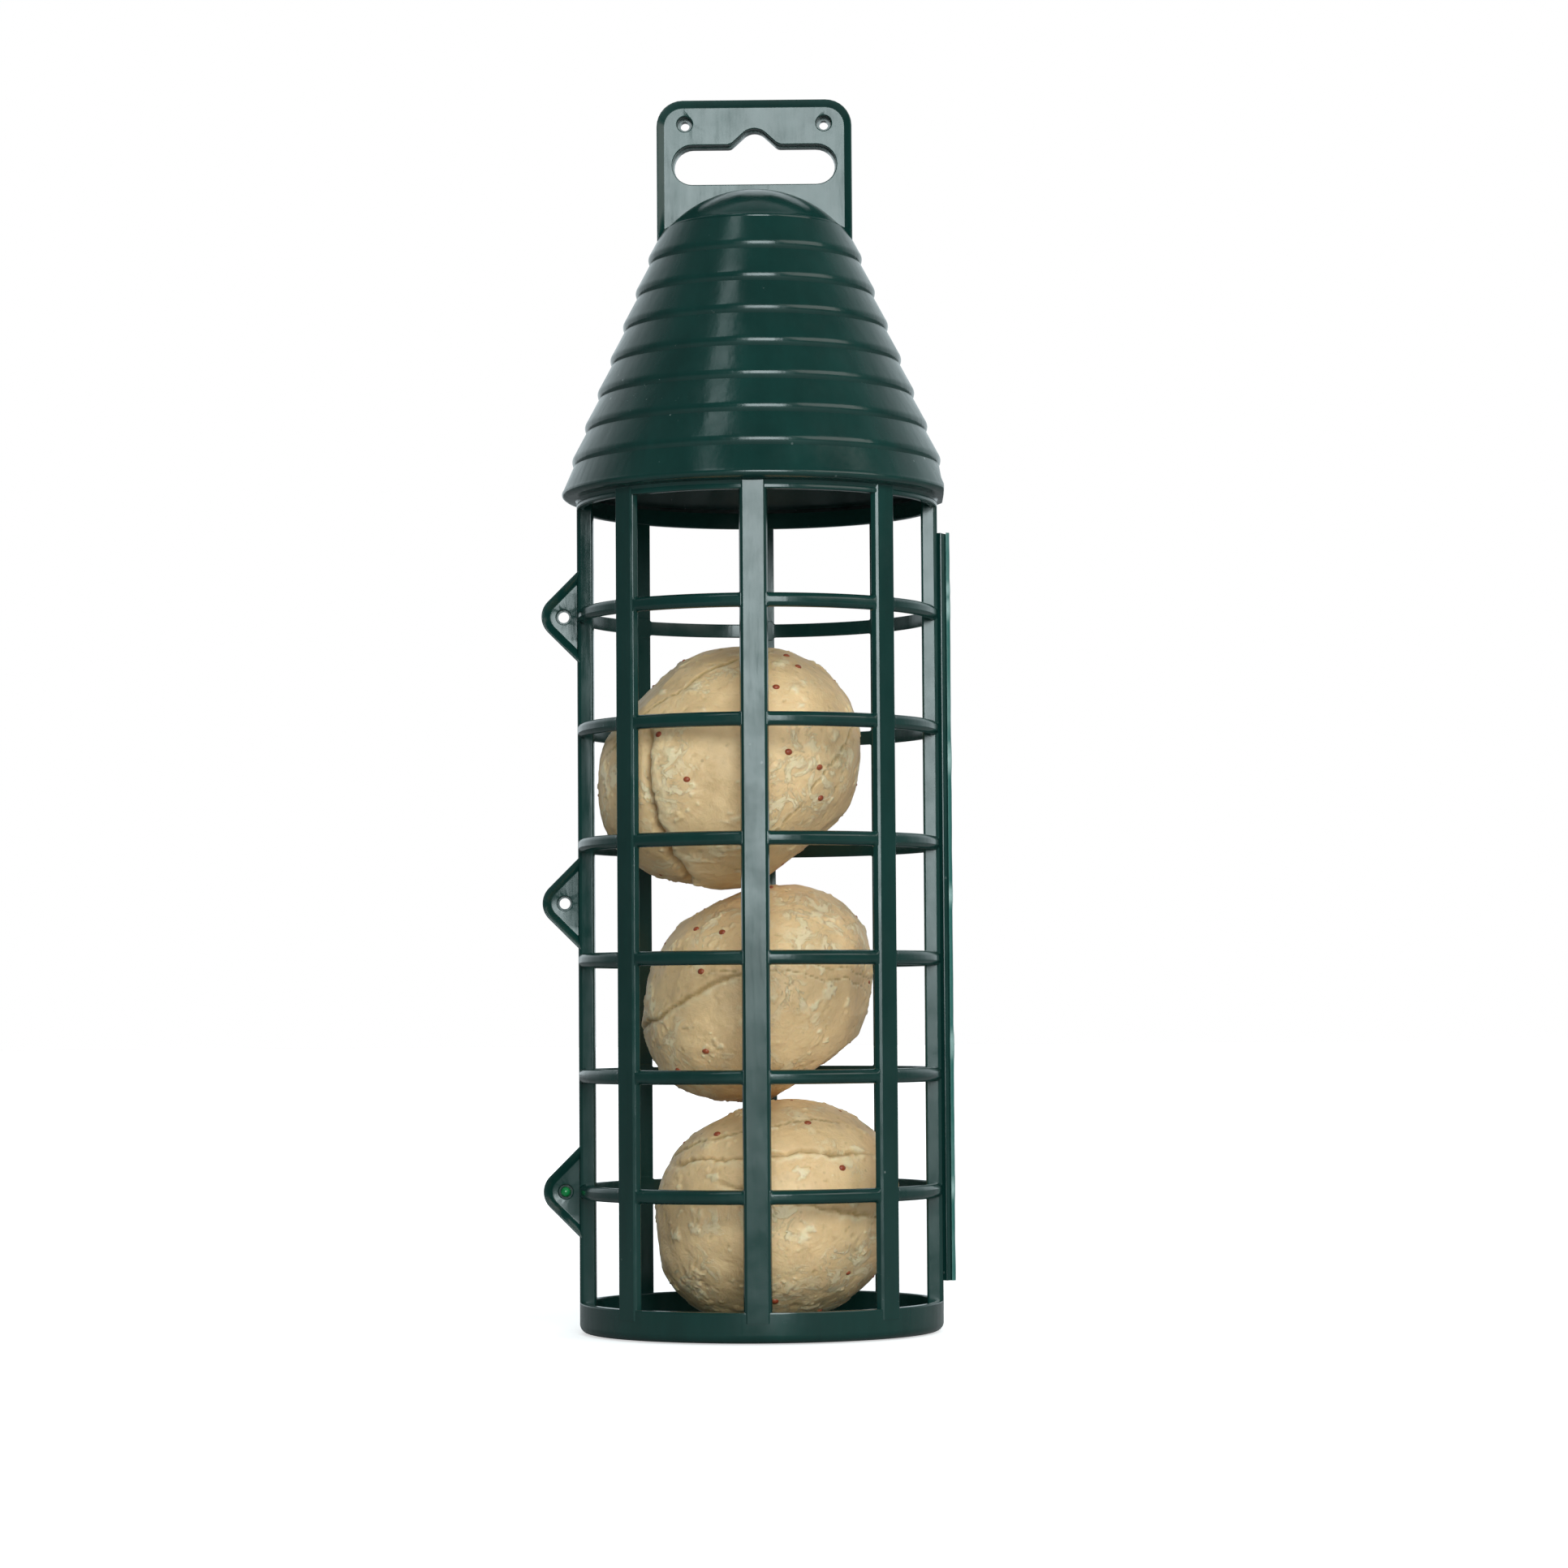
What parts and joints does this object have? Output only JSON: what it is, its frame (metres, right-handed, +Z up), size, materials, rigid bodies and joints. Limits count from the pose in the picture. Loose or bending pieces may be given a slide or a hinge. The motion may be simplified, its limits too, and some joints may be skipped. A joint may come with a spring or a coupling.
{
  "type": "hanging bird feeder",
  "caption": "Hanging fat-ball bird feeder: open moulded cage that swings open on a living hinge, stepped conical roof, hang plate with slot, and stacked suet balls.",
  "frame": {"origin": "centre of the flat underside of the base, on the cage's axis and the parting plane", "axes": "+Z up along the cage's axis, -Y out of the front half, +X to the hinge side"},
  "size_m": [0.0933, 0.0888, 0.2802],
  "materials": {
    "green_plastic": "gloss",
    "hinge_film": "gloss",
    "peg_plastic": "gloss",
    "suet": "matte"
  },
  "bodies": {
    "back_half": {"back_base_cup": "green_plastic", "back_hoop_1": "green_plastic", "back_hoop_2": "green_plastic", "back_hoop_3": "green_plastic", "back_hoop_4": "green_plastic", "back_hoop_5": "green_plastic", "back_hoop_6": "green_plastic", "back_post_left": "green_plastic", "back_post_center": "green_plastic", "back_post_right": "green_plastic", "back_side_post_left": "green_plastic", "back_side_post_right": "green_plastic", "back_top_ring": "green_plastic", "back_roof_skirt": "green_plastic", "back_roof_cap": "green_plastic", "back_hang_plate": "green_plastic", "back_lug_bottom": "green_plastic", "back_lug_middle": "green_plastic", "back_lug_top": "green_plastic", "back_hinge_leaf": "green_plastic", "living_hinge": "hinge_film"},
    "front_half": {"front_base_cup": "green_plastic", "front_hoop_1": "green_plastic", "front_hoop_2": "green_plastic", "front_hoop_3": "green_plastic", "front_hoop_4": "green_plastic", "front_hoop_5": "green_plastic", "front_hoop_6": "green_plastic", "front_post_left": "green_plastic", "front_post_center": "green_plastic", "front_post_right": "green_plastic", "front_side_post_left": "green_plastic", "front_side_post_right": "green_plastic", "front_top_ring": "green_plastic", "front_roof_skirt": "green_plastic", "front_roof_cap": "green_plastic", "front_hang_plate": "green_plastic", "front_lug_bottom": "green_plastic", "front_lug_middle": "green_plastic", "front_lug_top": "green_plastic", "front_hinge_leaf": "green_plastic"},
    "closure_peg": {"closure_peg": "peg_plastic"},
    "fat_ball_bottom": {"fat_ball_bottom": "suet"},
    "fat_ball_middle": {"fat_ball_middle": "suet"},
    "fat_ball_top": {"fat_ball_top": "suet"}
  },
  "joints": [
    {"name": "lid_hinge", "type": "hinge", "parent": "back_half", "child": "front_half", "pos_m": [0.0439, 0, 0.0959], "axis": [0, 0, 1], "range_deg": [0, 180], "deforming": ["living_hinge"]},
    {"name": "peg_pull", "type": "slide", "parent": "back_half", "child": "closure_peg", "axis": [0, 1, 0], "range_m": [0, 0.012]},
    {"name": "ball_bottom_lift", "type": "slide", "parent": "back_half", "child": "fat_ball_bottom", "axis": [0, 0, 1], "range_m": [0, 0.01]},
    {"name": "ball_middle_lift", "type": "slide", "parent": "fat_ball_bottom", "child": "fat_ball_middle", "axis": [0, 0, 1], "range_m": [0, 0.01]},
    {"name": "ball_top_lift", "type": "slide", "parent": "fat_ball_middle", "child": "fat_ball_top", "axis": [0, 0, 1], "range_m": [0, 0.01]}
  ]
}
